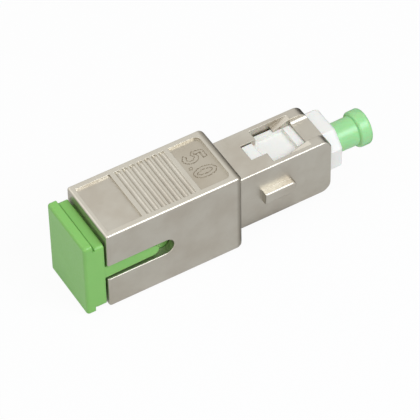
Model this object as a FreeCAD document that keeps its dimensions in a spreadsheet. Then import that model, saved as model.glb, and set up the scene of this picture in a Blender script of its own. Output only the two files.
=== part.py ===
import FreeCAD, Part
import os

import Sketcher
from FreeCAD import Vector
from math import pi, radians, tan

# Fibre attenuator with a plug end and a socket end, in millimetres.
#
# The optical axis runs along X. The socket mouth faces -X, the plug's ferrule points to +X, and the key
# and the key slot are on the -Y side. Each piece is drawn about the optical axis, with the socket mouth at
# x = 0, and is then placed so that the origin is under the middle of the object, on the face it rests on.

DOCUMENT_NAME = "fibre_attenuator"

DIMENSIONS = [
    # The cast block
    ("block_length", 19.4, "socket mouth to the block's plug-side end"),
    ("block_width", 9.9, "across Y"),
    ("block_height", 12.95, "across Z"),
    ("block_edge", 0.3, "radius of the upper long edges and of the rest of the mouth's rim"),
    ("base_edge", 0.75, "radius of the lower long edges and below the mouth"),
    ("block_shoulder", 0.85, "radius round the plug-side end"),
    ("port_width", 7.45, "socket opening across Y"),
    ("port_height", 9.05, "socket opening across Z"),
    ("port_floor", 1.8, "wall between the socket and the plug-side end, which stops the core"),
    ("slot_width", 2.4, "key slot"),
    ("slot_reach", 9.4, "mouth to the slot's round end"),
    ("slot_lip", 0.12, "radius on the slot's outer rim"),
    # Grip panels on the two narrow faces
    ("panel_depth", 0.3, "panels below the rim"),
    ("panel_border", 0.875, "rim on each side of the panels and grooves"),
    ("panel_start", 0.7, "mouth to the plain panel"),
    ("plain_panel", 4.85, "length of the plain panel"),
    ("panel_end", 0.38, "marked panel to the round at the block's end"),
    ("mark_corner", 0.8, "plan radius at the marked panel's far corners"),
    ("groove_pitch", 1.04, "from groove to groove"),
    ("groove_count", 7, "grooves on each grip"),
    ("groove_radius", 0.42, "groove section"),
    ("groove_lift", 0.17, "centre of a groove's section above the rim"),
    # The cast plug neck
    ("neck_length", 13.7, "block to the neck's front end"),
    ("neck_cheek", 0.4, "neck's wall on the +Y and -Y sides"),
    ("neck_roof", 1.035, "neck's wall above and below"),
    ("neck_edge", 0.22, "radius of the neck's long edges"),
    ("neck_nose", 1.4, "radius of the neck's front corners, seen from the side"),
    ("frame_gap", 0.05, "between the frame and the square way through the neck"),
    ("key_start", 3.45, "block to the key"),
    ("key_length", 4.55, "key along X"),
    ("key_width", 1.8, "key across Z"),
    ("key_proud", 0.95, "key above the neck"),
    ("key_edge", 0.3, "radius of the key's outer edges"),
    ("key_corner", 0.55, "radius of the key's leading corners"),
    # Latch window in the neck's two narrow faces
    ("window_start", 3.3, "block to the window's narrow end"),
    ("window_narrow_length", 2.25, "length of the narrow part"),
    ("window_narrow", 2.8, "narrow part across Y"),
    ("window_jamb", 0.3, "ledge from the wide part's side to the square way's side"),
    ("window_end", 2.6, "window's front edge to the neck's front end"),
    ("ramp_length", 2.5, "release ramps along X"),
    ("ramp_width", 0.85, "release ramps across Y"),
    ("ramp_step", 0.17, "low end of a ramp above the square way"),
    ("channel_depth", 0.73, "bridge below the rails"),
    ("channel_fillet_share", 0.85, "radius at the channel's foot, as a share of its depth"),
    # White plug frame
    ("frame_width", 6.5, "across Y"),
    ("frame_height", 6.8, "across Z"),
    ("frame_proud", 2.1, "frame in front of the neck"),
    ("frame_key_bevel", 1.9, "corner bevel on the key side"),
    ("frame_back_bevel", 0.5, "corner bevel on the far side"),
    ("frame_nose", 0.6, "radius round the front face"),
    ("frame_collar", 1.7, "length of the rear collar"),
    ("core_travel", 1.2, "slide of the core in the housing"),
    ("stop_gap", 0.1, "left between stops at the end of a travel"),
    ("side_gap", 0.1, "between the core or a cap and the socket's wall"),
    ("latch_floor", 2.85, "height of the latch pocket's floor above the axis"),
    ("latch_pocket", 4.5, "length of the latch pocket"),
    ("latch_room", 0.25, "between a port's hook and the pocket's sides"),
    ("catch_length", 1.1, "window's front edge to the catch's steep face"),
    ("wedge_height", 0.8, "snap wedge above the frame"),
    ("wedge_length", 2.0, "snap wedge along X"),
    ("wedge_slope", 0.5, "sloping part of the snap wedge"),
    ("nose_room", 0.15, "bore in front of the inner shoulder, round the ferrule cap's barrel"),
    ("nose_bore_depth", 5.1, "front face to the inner shoulder"),
    ("shoulder_wall", 1.2, "thickness of the inner shoulder"),
    ("way_gap", 0.13, "round the ferrule in each wall it passes"),
    ("spring_bore", 4.4, "bore behind the inner shoulder"),
    ("guide_rib_width", 0.7, "rib that keeps the collar from turning"),
    ("guide_rib_gap", 0.055, "between the rib and the spring"),
    # Ferrule group
    ("ferrule_diameter", 2.5, "ceramic ferrule"),
    ("ferrule_proud", 2.1, "ferrule in front of the frame"),
    ("mating_depth", 13.7, "socket mouth to the ferrule's rear end"),
    ("ferrule_chamfer", 0.4, "length of the chamfer on the ferrule's ends"),
    ("polish_angle", 8, "slope of both end faces, in degrees"),
    ("fibre_diameter", 0.125, "glass fibre"),
    ("fibre_gap", 0.0005, "between the fibre and its bore"),
    ("collar_gap", 0.1, "between the ferrule's collar and the spring bore"),
    ("collar_length", 3.0, "ferrule collar"),
    ("keyway_gap", 0.08, "collar's keyway round the guide rib"),
    ("float_travel", 0.8, "ferrule's travel against its spring"),
    ("spring_wire", 0.35, "wire diameter"),
    ("spring_gap", 0.125, "between the spring and the ferrule"),
    ("spring_turns", 6, "turns"),
    # Socket inner parts
    ("bush_flange", 6.0, "spring bush's flange diameter"),
    ("bush_flange_length", 0.8, "spring bush's flange"),
    ("bush_wall", 0.7, "wall that the spring pushes on"),
    ("fit_gap", 0.03, "between pieces pushed into each other"),
    ("sleeve_length", 11.4, "split sleeve"),
    ("sleeve_gap", 0.01, "between the sleeve and the ferrule"),
    ("sleeve_wall", 0.34, "split sleeve"),
    ("sleeve_slit", 0.3, "slit along the sleeve"),
    ("sleeve_play", 0.1, "room at each end of the sleeve"),
    ("sleeve_room", 0.05, "room round the sleeve"),
    ("tube_wall", 0.65, "wall of the sleeve's tube"),
    ("tube_lip", 0.7, "lip that keeps the sleeve in its tube"),
    ("latch_base", 2.0, "latch base plate"),
    ("hook_start", 4.5, "socket mouth to the hooks' tips"),
    ("hook_length", 1.25, "hook along X"),
    ("hook_depth", 0.6, "hook inside its arm"),
    ("arm_gap", 0.175, "between an arm and the socket's wall"),
    ("arm_thickness", 0.8, "hook arm"),
    ("arm_width", 3.8, "hook arm across Y"),
    # Socket dust cap
    ("plate_side_inset", 0.3, "flanges inside the block's sides"),
    ("plate_top_inset", 0.475, "outer flange inside the block's top and bottom"),
    ("plate_drop", 0.42, "flanges below the stopper's middle"),
    ("plate_thickness", 1.2, "outer flange"),
    ("plate_step", 0.65, "inner flange below the outer one's edge"),
    ("inner_plate_thickness", 1.55, "inner flange"),
    ("plate_edge", 0.42, "radius on the flanges"),
    ("notch_depth", 0.3, "notch between the flanges"),
    ("notch_width", 0.3, "notch along X"),
    ("cap_gap", 0.25, "inner flange to the socket's mouth"),
    ("hook_room", 0.6, "full section of the stopper to the hooks' tips"),
    ("cheek_length", 9.2, "mouth to the cheeks' ends"),
    ("cheek_gap", 0.3, "between the cheeks and the sleeve's tube or the hooks"),
    ("stopper_wall", 1.0, "wall of the stopper in front, above and below"),
    ("rail_gap", 0.2, "between the key rail's root and the slot's sides"),
    ("rail_taper", 0.2, "what the rail loses on each side by its tip"),
    ("rail_end_gap", 2.0, "key rail's tip to the slot's end"),
    ("rail_inset", 0.05, "key rail's face below the flanges' side"),
    # Ferrule dust cap
    ("barrel_rear", 3.8, "barrel's diameter at its mouth"),
    ("barrel_flare", 0.2, "growth of the barrel's diameter up to the rim"),
    ("barrel_length", 7.3, "barrel"),
    ("rim_lip", 0.45, "rim above the barrel"),
    ("rim_thickness", 1.8, "rim"),
    ("rim_edge_share", 0.9, "radius of the rim's edges, as a share of its lip"),
    ("grip_gap", 0.02, "between the cap's bore and the ferrule"),
    ("cap_end_room", 0.6, "between the ferrule's tip and the bottom of the cap"),
    ("cap_proud", 5.1, "cap in front of the frame"),
]


class Size:
    """A length worked out from the sheet: its value, and the expression that binds it there."""

    def __init__(self, value, text):
        self.value = value
        self.text = text

    def _with(self, other, sign, value):
        return Size(value, f"({self.text} {sign} {as_size(other).text})")

    def __add__(self, other):
        return self._with(other, "+", self.value + as_size(other).value)

    def __sub__(self, other):
        return self._with(other, "-", self.value - as_size(other).value)

    def __mul__(self, other):
        return self._with(other, "*", self.value * as_size(other).value)

    def __truediv__(self, other):
        return self._with(other, "/", self.value / as_size(other).value)

    def __neg__(self):
        return Size(-self.value, f"(-1 * {self.text})")


def as_size(number):
    """Give a plain number the form of a Size."""
    return number if isinstance(number, Size) else Size(number, repr(number))


class Sheet:
    """The spreadsheet of driving dimensions. sheet.name is the Size kept under that alias."""

    def __init__(self, document):
        self.cells = document.addObject("Spreadsheet::Sheet", "Dimensions")
        for row, (alias, value, meaning) in enumerate(DIMENSIONS, start=1):
            self.cells.set(f"A{row}", alias)
            self.cells.set(f"B{row}", str(value))
            self.cells.set(f"C{row}", meaning)
            self.cells.setAlias(f"B{row}", alias)
            setattr(self, alias, Size(value, f"Dimensions.{alias}"))
        document.recompute()


class Piece:
    """One moulded, cast or turned piece: a body whose features are bound to the sheet."""

    def __init__(self, document, label):
        self.document = document
        self.body = document.addObject("PartDesign::Body", label)
        self.body.Label = label
        self.planes = {item.Role: item for item in self.body.Origin.OriginFeatures}

    def _sketch(self, name, plane, start):
        sketch = self.body.newObject("Sketcher::SketchObject", name + "_sketch")
        sketch.AttachmentSupport = (self.planes[plane], [""])
        sketch.MapMode = "FlatFace"
        sketch.setExpression("AttachmentOffset.Base.z", as_size(start).text)
        return sketch

    def _fix(self, sketch, geometry, point, direction, size):
        """Hold one coordinate of a point at a Size, or on the axis where the Size is nought."""
        if abs(size.value) < 1e-9:
            axis = -2 if direction == "DistanceX" else -1
            sketch.addConstraint(Sketcher.Constraint("PointOnObject", geometry, point, axis))
            return
        index = sketch.addConstraint(Sketcher.Constraint(direction, -1, 1, geometry, point, size.value))
        sketch.setExpression(f"Constraints[{index}]", size.text)

    def _polygon(self, sketch, corners):
        corners = [(as_size(u), as_size(v)) for u, v in corners]
        points = [Vector(u.value, v.value, 0) for u, v in corners]
        first = sketch.GeometryCount
        count = len(points)
        for i in range(count):
            sketch.addGeometry(Part.LineSegment(points[i], points[(i + 1) % count]), False)
        for i in range(count):
            following = first + (i + 1) % count
            sketch.addConstraint(Sketcher.Constraint("Coincident", first + i, 2, following, 1))
            self._fix(sketch, first + i, 1, "DistanceX", corners[i][0])
            self._fix(sketch, first + i, 1, "DistanceY", corners[i][1])

    def _disc(self, sketch, centre, radius):
        u, v = as_size(centre[0]), as_size(centre[1])
        circle = Part.Circle(Vector(u.value, v.value, 0), Vector(0, 0, 1), radius.value)
        index = sketch.addGeometry(circle, False)
        self._fix(sketch, index, 3, "DistanceX", u)
        self._fix(sketch, index, 3, "DistanceY", v)
        held = sketch.addConstraint(Sketcher.Constraint("Radius", index, radius.value))
        sketch.setExpression(f"Constraints[{held}]", radius.text)

    def _profile(self, name, plane, start, polygons, discs):
        sketch = self._sketch(name, plane, start)
        for corners in polygons:
            self._polygon(sketch, corners)
        for centre, radius in discs:
            self._disc(sketch, centre, radius)
        return sketch

    def pad(self, name, plane, start, length, polygons=(), discs=()):
        """Add the outline, from start along the plane's normal by length."""
        sketch = self._profile(name, plane, start, polygons, discs)
        feature = self.body.newObject("PartDesign::Pad", name)
        feature.Profile = sketch
        feature.setExpression("Length", as_size(length).text)
        return feature

    def cut(self, name, plane, start, length, polygons=(), discs=()):
        """Take the outline away, from start along the plane's normal by length."""
        sketch = self._profile(name, plane, start, polygons, discs)
        feature = self.body.newObject("PartDesign::Pocket", name)
        feature.Profile = sketch
        feature.Reversed = True
        feature.setExpression("Length", as_size(length).text)
        return feature

    def turn(self, name, corners):
        """Add the half section, given as (along X, radius), turned about the X axis."""
        return self._turned("PartDesign::Revolution", name, corners)

    def bore(self, name, corners):
        """Take away the half section turned about the X axis."""
        return self._turned("PartDesign::Groove", name, corners)

    def _turned(self, kind, name, corners):
        sketch = self._profile(name, "XY_Plane", 0, [corners], [])
        feature = self.body.newObject(kind, name)
        feature.Profile = sketch
        feature.ReferenceAxis = (sketch, ["H_Axis"])
        feature.Angle = 360
        return feature

    def round_edges(self, name, radius, chosen):
        """Round the edges of the solid so far for which chosen(edge) holds."""
        self.document.recompute()
        base = self.body.Tip
        names = [f"Edge{i}" for i, edge in enumerate(base.Shape.Edges, start=1) if chosen(edge)]
        feature = self.body.newObject("PartDesign::Fillet", name)
        feature.Base = (base, names)
        feature.setExpression("Radius", radius.text)
        return feature

    def coil(self, name, start, wire_radius, height, turns):
        """Add a coil about the X axis, from a wire centred at start, given as (along X, radius)."""
        sketch = self._profile(name, "XZ_Plane", 0, [], [(start, wire_radius)])
        feature = self.body.newObject("PartDesign::AdditiveHelix", name)
        feature.Profile = sketch
        feature.ReferenceAxis = (sketch, ["H_Axis"])
        feature.Mode = "height-turns-angle"
        feature.setExpression("Height", height.text)
        feature.setExpression("Turns", turns.text)
        return feature

    def repeat(self, name, feature, pitch, count):
        """Repeat a feature along X."""
        pattern = self.body.newObject("PartDesign::LinearPattern", name)
        pattern.Originals = [feature]
        pattern.Direction = (self.planes["X_Axis"], [""])
        pattern.Mode = "Spacing"
        pattern.setExpression("Offset", pitch.text)
        pattern.setExpression("Occurrences", count.text)
        self.body.Tip = pattern
        return pattern


def add_derived(at):
    """Work out the sizes that mating pieces take from each other."""
    at.port_depth = at.block_length - at.port_floor
    at.bore_width = at.frame_width + at.frame_gap * 2
    at.bore_height = at.frame_height + at.frame_gap * 2
    at.neck_width = at.bore_width + at.neck_cheek * 2
    at.neck_height = at.bore_height + at.neck_roof * 2
    at.neck_end = at.block_length + at.neck_length
    at.panel_width = at.block_width - at.panel_border * 2
    at.window_low = at.block_length + at.window_start
    at.window_high = at.neck_end - at.window_end
    at.frame_front = at.neck_end + at.frame_proud

    at.collar_front = at.port_depth - at.core_travel - at.stop_gap
    at.collar_rear = at.collar_front - at.frame_collar
    at.shoulder_front = at.frame_front - at.nose_bore_depth
    at.shoulder_rear = at.shoulder_front - at.shoulder_wall
    at.ferrule_tip = at.frame_front + at.ferrule_proud
    at.way_radius = at.ferrule_diameter / 2 + at.way_gap
    at.spring_mean_radius = at.ferrule_diameter / 2 + at.spring_gap + at.spring_wire / 2
    at.rib_face = at.spring_mean_radius + at.spring_wire / 2 + at.guide_rib_gap
    at.sleeve_inner = at.ferrule_diameter / 2 + at.sleeve_gap
    at.sleeve_outer = at.sleeve_inner + at.sleeve_wall
    at.sleeve_way = at.sleeve_outer + at.sleeve_room
    at.sleeve_low = at.mating_depth - at.sleeve_length / 2
    at.sleeve_high = at.sleeve_low + at.sleeve_length
    at.bush_front = at.sleeve_high + at.sleeve_play + at.bush_wall
    at.tube_outer = at.sleeve_way + at.tube_wall
    at.arm_outer = at.port_height / 2 - at.arm_gap
    at.arm_inner = at.arm_outer - at.arm_thickness
    at.hook_face = at.arm_inner - at.hook_depth
    at.barrel_front = at.barrel_rear + at.barrel_flare
    at.flange_face = -at.cap_gap
    at.cap_outer_face = at.flange_face - at.inner_plate_thickness - at.plate_thickness
    at.cap_tip = at.frame_front + at.cap_proud


def block_outline(width, height):
    """Corners of an upright rectangle about the axis."""
    return span(-width / 2, width / 2, -height / 2, height / 2)


def span(low_u, high_u, low_v, high_v):
    """Corners of a rectangle between two pairs of limits."""
    return [(low_u, low_v), (high_u, low_v), (high_u, high_v), (low_u, high_v)]


def both_sides(corners):
    """An outline and its mirror image across the sketch's horizontal axis."""
    mirrored = [(u, -as_size(v)) for u, v in corners]
    return [corners, mirrored]


def near(value, target, tolerance=0.02):
    return abs(value - target) < tolerance


def along(edge, axis):
    """Whether a straight edge runs along axis 0, 1 or 2."""
    if len(edge.Vertexes) != 2:
        return False
    step = edge.Vertexes[1].Point - edge.Vertexes[0].Point
    return near(abs(step[axis]), edge.Length, 1e-6)


def is_circle(edge, radius):
    """Whether an edge is a whole circle of this radius."""
    return len(edge.Vertexes) == 1 and near(edge.Length, 2 * pi * radius)


def middle(edge):
    low, high = edge.ParameterRange
    return edge.valueAt((low + high) / 2)


def make_housing(document, at):
    """The cast block and plug neck: socket, key slot, grips, latch windows, ramps and key."""
    piece = Piece(document, "metal_housing")
    overshoot = at.block_shoulder
    neck_end = at.neck_end

    piece.pad("block", "YZ_Plane", 0, at.block_length, [block_outline(at.block_width, at.block_height)])
    piece.round_edges("block_shoulder_round", at.block_shoulder,
                      lambda edge: near(middle(edge).x, at.block_length.value) and not along(edge, 0))
    base = -at.block_height.value / 2
    piece.round_edges("base_edge_round", at.base_edge,
                      lambda edge: near(middle(edge).z, base)
                      and (along(edge, 0) or near(middle(edge).x, 0)))
    piece.round_edges("block_edge_round", at.block_edge,
                      lambda edge: near(middle(edge).x, 0)
                      or along(edge, 0) and near(middle(edge).z, -base))

    neck_start = at.port_depth
    piece.pad("neck", "YZ_Plane", neck_start, neck_end - neck_start,
              [block_outline(at.neck_width, at.neck_height)])
    piece.round_edges("neck_nose_round", at.neck_nose,
                      lambda edge: near(middle(edge).x, neck_end.value) and along(edge, 1))
    half_width = at.neck_width.value / 2
    piece.round_edges("neck_edge_round", at.neck_edge,
                      lambda edge: near(abs(middle(edge).y), half_width)
                      and middle(edge).x > at.block_length.value + 0.1)

    key_low = at.block_length + at.key_start
    key_high = key_low + at.key_length
    key_root = at.neck_width / 2 - at.neck_cheek / 2
    key_face = at.neck_width / 2 + at.key_proud
    piece.pad("key", "XZ_Plane", key_root, key_face - key_root,
              [span(key_low, key_high, -at.key_width / 2, at.key_width / 2)])
    piece.round_edges("key_corner_round", at.key_corner,
                      lambda edge: along(edge, 1) and near(middle(edge).x, key_high.value)
                      and near(abs(middle(edge).z), at.key_width.value / 2))
    piece.round_edges("key_edge_round", at.key_edge,
                      lambda edge: near(middle(edge).y, -key_face.value))

    piece.cut("socket", "YZ_Plane", -overshoot, at.port_depth + overshoot,
              [block_outline(at.port_width, at.port_height)])
    piece.cut("neck_way", "YZ_Plane", at.port_depth - overshoot, neck_end - at.port_depth + overshoot * 2,
              [block_outline(at.bore_width, at.bore_height)])

    slot_centre = at.slot_reach - at.slot_width / 2
    slot_floor = at.port_width / 2 - at.slot_lip
    slot_depth = at.block_width / 2 - slot_floor + overshoot
    piece.cut("slot", "XZ_Plane", slot_floor, slot_depth,
              [span(-overshoot, slot_centre, -at.slot_width / 2, at.slot_width / 2)])
    piece.cut("slot_end", "XZ_Plane", slot_floor, slot_depth, [], [((slot_centre, 0), at.slot_width / 2)])
    side = at.block_width.value / 2
    piece.round_edges("slot_lip_round", at.slot_lip,
                      lambda edge: near(middle(edge).y, -side)
                      and 0.5 < middle(edge).x < at.slot_reach.value + 0.1
                      and abs(middle(edge).z) < at.slot_width.value)

    top = at.block_height / 2
    panel_floor = top - at.panel_depth
    plain_end = at.panel_start + at.plain_panel
    mark_start = plain_end + at.groove_pitch * (at.groove_count + 1)
    mark_end = at.block_length - at.block_shoulder - at.panel_end
    clear_top = top + at.panel_depth
    piece.cut("plain_panel_cut", "XZ_Plane", -at.panel_width / 2, at.panel_width,
              both_sides(span(at.panel_start, plain_end, panel_floor, clear_top)))
    piece.cut("mark_panel_cut", "XZ_Plane", -at.panel_width / 2, at.panel_width,
              both_sides(span(mark_start, mark_end, panel_floor, clear_top)))
    piece.round_edges("mark_corner_round", at.mark_corner,
                      lambda edge: along(edge, 2) and near(middle(edge).x, mark_end.value)
                      and near(abs(middle(edge).y), at.panel_width.value / 2))
    groove_centre = plain_end + at.groove_pitch
    groove_height = top + at.groove_lift
    groove = piece.cut("groove", "XZ_Plane", -at.panel_width / 2, at.panel_width, [],
                       [((groove_centre, groove_height), at.groove_radius),
                        ((groove_centre, -groove_height), at.groove_radius)])
    piece.repeat("grooves", groove, at.groove_pitch, at.groove_count)

    roof = at.bore_height / 2
    neck_top = at.neck_height / 2
    clear_neck = neck_top + overshoot
    window_low = at.window_low
    window_step = window_low + at.window_narrow_length
    window_high = at.window_high
    ramp_low = window_high - at.ramp_length
    narrow = at.window_narrow / 2
    wide = at.bore_width / 2 - at.window_jamb
    channel = wide - at.ramp_width
    t_shape = [
        (window_low, -narrow), (window_step, -narrow), (window_step, -wide), (ramp_low, -wide),
        (ramp_low, -channel), (window_high, -channel), (window_high, channel), (ramp_low, channel),
        (ramp_low, wide), (window_step, wide), (window_step, narrow), (window_low, narrow),
    ]
    piece.cut("latch_window", "XY_Plane", -clear_neck, clear_neck * 2, [t_shape])
    ramp = [(ramp_low, roof + at.ramp_step), (window_high, neck_top), (window_high, clear_neck),
            (ramp_low, clear_neck)]
    piece.cut("release_ramp", "XZ_Plane", -wide, wide * 2, both_sides(ramp))
    channel_floor = neck_top - at.channel_depth
    piece.cut("channel", "YZ_Plane", window_high, at.window_end + overshoot,
              both_sides(span(-channel, channel, channel_floor, clear_neck)))
    piece.round_edges("channel_fillet", at.channel_depth * at.channel_fillet_share,
                      lambda edge: along(edge, 0) and near(abs(middle(edge).y), channel.value)
                      and near(abs(middle(edge).z), channel_floor.value))
    return piece


def make_frame(document, at):
    """The white frame: bevelled front, latch pockets and catches, snap wedges, rear collar and bores."""
    piece = Piece(document, "plug_frame")
    front = at.frame_front
    collar_rear = at.collar_rear
    width = at.frame_width / 2
    height = at.frame_height / 2
    section = [
        (-width, -height + at.frame_key_bevel), (-width + at.frame_key_bevel, -height),
        (width - at.frame_back_bevel, -height), (width, -height + at.frame_back_bevel),
        (width, height - at.frame_back_bevel), (width - at.frame_back_bevel, height),
        (-width + at.frame_key_bevel, height), (-width, height - at.frame_key_bevel),
    ]
    piece.pad("frame_bar", "YZ_Plane", collar_rear, front - collar_rear, [section])
    piece.round_edges("frame_nose_round", at.frame_nose,
                      lambda edge: near(middle(edge).x, front.value))
    piece.pad("rear_collar", "YZ_Plane", collar_rear, at.frame_collar,
              [block_outline(at.port_width - at.side_gap * 2, at.port_height - at.side_gap * 2)])

    catch_low = at.window_high - at.catch_length
    pocket_low = catch_low - at.latch_pocket
    clear_top = height + at.wedge_height
    pocket_side = at.arm_width / 2 + at.latch_room
    piece.cut("latch_pocket_cut", "XZ_Plane", -pocket_side, pocket_side * 2,
              both_sides(span(pocket_low, catch_low, at.latch_floor, clear_top)))

    wedge_low = at.window_low + at.stop_gap
    wedge_root = height - at.wedge_height / 2
    wedge_top = height + at.wedge_height
    wedge_high = wedge_low + at.wedge_length
    wedge = [(wedge_low, wedge_root), (wedge_high, wedge_root), (wedge_high, height),
             (wedge_high - at.wedge_slope, wedge_top), (wedge_low, wedge_top)]
    wedge_side = at.window_narrow / 2 - at.side_gap
    piece.pad("snap_wedge", "XZ_Plane", -wedge_side, wedge_side * 2, both_sides(wedge))

    shoulder_front = at.shoulder_front
    shoulder_rear = at.shoulder_rear
    nose_bore = at.barrel_front / 2 + at.nose_room
    piece.bore("nose_bore", [(shoulder_front, 0), (front + at.stop_gap, 0),
                             (front + at.stop_gap, nose_bore), (shoulder_front, nose_bore)])
    piece.bore("ferrule_hole", [(shoulder_rear - at.stop_gap, 0), (shoulder_front + at.stop_gap, 0),
                                (shoulder_front + at.stop_gap, at.way_radius),
                                (shoulder_rear - at.stop_gap, at.way_radius)])
    flange_seat = collar_rear + at.bush_flange_length
    piece.bore("spring_chamber", [(collar_rear - at.stop_gap, 0), (shoulder_rear, 0),
                                  (shoulder_rear, at.spring_bore / 2), (flange_seat, at.spring_bore / 2),
                                  (flange_seat, at.bush_flange / 2 + at.fit_gap),
                                  (collar_rear - at.stop_gap, at.bush_flange / 2 + at.fit_gap)])

    rib_low = shoulder_rear - at.collar_length - at.float_travel
    rib_root = at.spring_bore / 2 + at.stop_gap
    piece.pad("guide_rib", "YZ_Plane", rib_low, shoulder_rear - rib_low,
              [span(at.rib_face, rib_root, -at.guide_rib_width / 2, at.guide_rib_width / 2)])
    return piece


def make_ferrule(document, at):
    """The ceramic rod, with a bore for the fibre, chamfered ends and sloping end faces."""
    piece = Piece(document, "ferrule")
    rear = at.mating_depth
    tip = at.ferrule_tip
    radius = at.ferrule_diameter / 2
    narrow = radius - at.ferrule_chamfer / 2
    piece.turn("rod", [(rear, 0), (tip, 0), (tip, narrow), (tip - at.ferrule_chamfer, radius),
                       (rear + at.ferrule_chamfer, radius), (rear, narrow)])
    beyond = at.ferrule_diameter
    slope = Size(tan(radians(at.polish_angle.value)), f"tan({at.polish_angle.text} * 1 deg)")
    rise = beyond * slope
    piece.cut("tip_face", "XY_Plane", -beyond, beyond * 2,
              [[(tip, 0), (tip + rise, -beyond), (tip + beyond, -beyond), (tip + beyond, beyond),
                (tip - rise, beyond)]])
    piece.cut("rear_face", "XY_Plane", -beyond, beyond * 2,
              [[(rear, 0), (rear + rise, -beyond), (rear - beyond, -beyond), (rear - beyond, beyond),
                (rear - rise, beyond)]])
    hole = at.fibre_diameter / 2 + at.fibre_gap
    piece.bore("fibre_hole", [(rear - beyond, 0), (tip + beyond, 0), (tip + beyond, hole),
                              (rear - beyond, hole)])
    return piece


def make_fibre(document, at):
    """The doped glass fibre, from end face to end face."""
    piece = Piece(document, "attenuating_fibre")
    radius = at.fibre_diameter / 2
    piece.turn("fibre", [(at.mating_depth, 0), (at.ferrule_tip, 0), (at.ferrule_tip, radius),
                         (at.mating_depth, radius)])
    return piece


def make_collar(document, at):
    """The collar pressed on the ferrule, with the keyway that the frame's rib runs in."""
    piece = Piece(document, "ferrule_collar")
    front = at.shoulder_rear
    rear = front - at.collar_length
    outer = at.spring_bore / 2 - at.collar_gap
    piece.turn("collar", [(rear, at.ferrule_diameter / 2), (front, at.ferrule_diameter / 2),
                          (front, outer), (rear, outer)])
    half_way = at.guide_rib_width / 2 + at.keyway_gap
    piece.cut("keyway", "YZ_Plane", rear - at.stop_gap, at.collar_length + at.stop_gap * 2,
              [span(at.rib_face - at.keyway_gap, at.spring_bore, -half_way, half_way)])
    return piece


def make_bush(document, at):
    """The bush that closes the frame, seats the spring and holds the sleeve's back half."""
    piece = Piece(document, "spring_bush")
    rear = at.collar_rear
    front = at.bush_front
    body = at.spring_bore / 2 - at.fit_gap
    piece.turn("bush", [
        (rear, at.sleeve_way), (front - at.bush_wall, at.sleeve_way), (front - at.bush_wall, at.way_radius),
        (front, at.way_radius), (front, body), (rear + at.bush_flange_length, body),
        (rear + at.bush_flange_length, at.bush_flange / 2), (rear, at.bush_flange / 2)])
    return piece


def make_spring(document, at):
    """The compression spring between the bush and the ferrule's collar."""
    piece = Piece(document, "ferrule_spring")
    low = at.bush_front + at.spring_wire / 2
    high = at.shoulder_rear - at.collar_length - at.spring_wire / 2
    piece.coil("coil", (low, at.spring_mean_radius), at.spring_wire / 2, high - low, at.spring_turns)
    return piece


def make_sleeve(document, at):
    """The slit ceramic sleeve, centred on the plane where two ferrules meet."""
    piece = Piece(document, "split_sleeve")
    low, high = at.sleeve_low, at.sleeve_high
    inner, outer = at.sleeve_inner, at.sleeve_outer
    piece.turn("sleeve", [(low, inner), (high, inner), (high, outer), (low, outer)])
    piece.cut("slit", "YZ_Plane", low - at.sleeve_play, at.sleeve_length + at.sleeve_play * 2,
              [span(0, outer + at.sleeve_play, -at.sleeve_slit / 2, at.sleeve_slit / 2)])
    return piece


def make_latch(document, at):
    """The socket's base plate, with the sleeve's tube and the two hook arms."""
    piece = Piece(document, "port_latch")
    base_front = at.collar_rear
    base_rear = base_front - at.latch_base
    piece.pad("base", "YZ_Plane", base_rear, at.latch_base,
              [block_outline(at.port_width - at.side_gap * 2, at.port_height - at.side_gap * 2)])
    lip_face = at.sleeve_low - at.sleeve_play
    tube_end = lip_face - at.tube_lip
    piece.turn("tube", [(tube_end, 0), (base_front, 0), (base_front, at.tube_outer),
                        (tube_end, at.tube_outer)])

    catch = at.hook_start + at.hook_length
    arm = [(at.hook_start, at.arm_inner), (catch - at.hook_length / 2, at.hook_face), (catch, at.hook_face),
           (catch, at.arm_inner), (base_front, at.arm_inner), (base_front, at.arm_outer),
           (at.hook_start, at.arm_outer)]
    piece.pad("hook_arm", "XZ_Plane", -at.arm_width / 2, at.arm_width, both_sides(arm))
    piece.bore("sleeve_way", [(lip_face, 0), (base_front + at.stop_gap, 0),
                              (base_front + at.stop_gap, at.sleeve_way), (lip_face, at.sleeve_way)])
    piece.bore("mouth", [(tube_end - at.stop_gap, 0), (lip_face + at.stop_gap, 0),
                         (lip_face + at.stop_gap, at.way_radius), (tube_end - at.stop_gap, at.way_radius)])
    return piece


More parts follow.
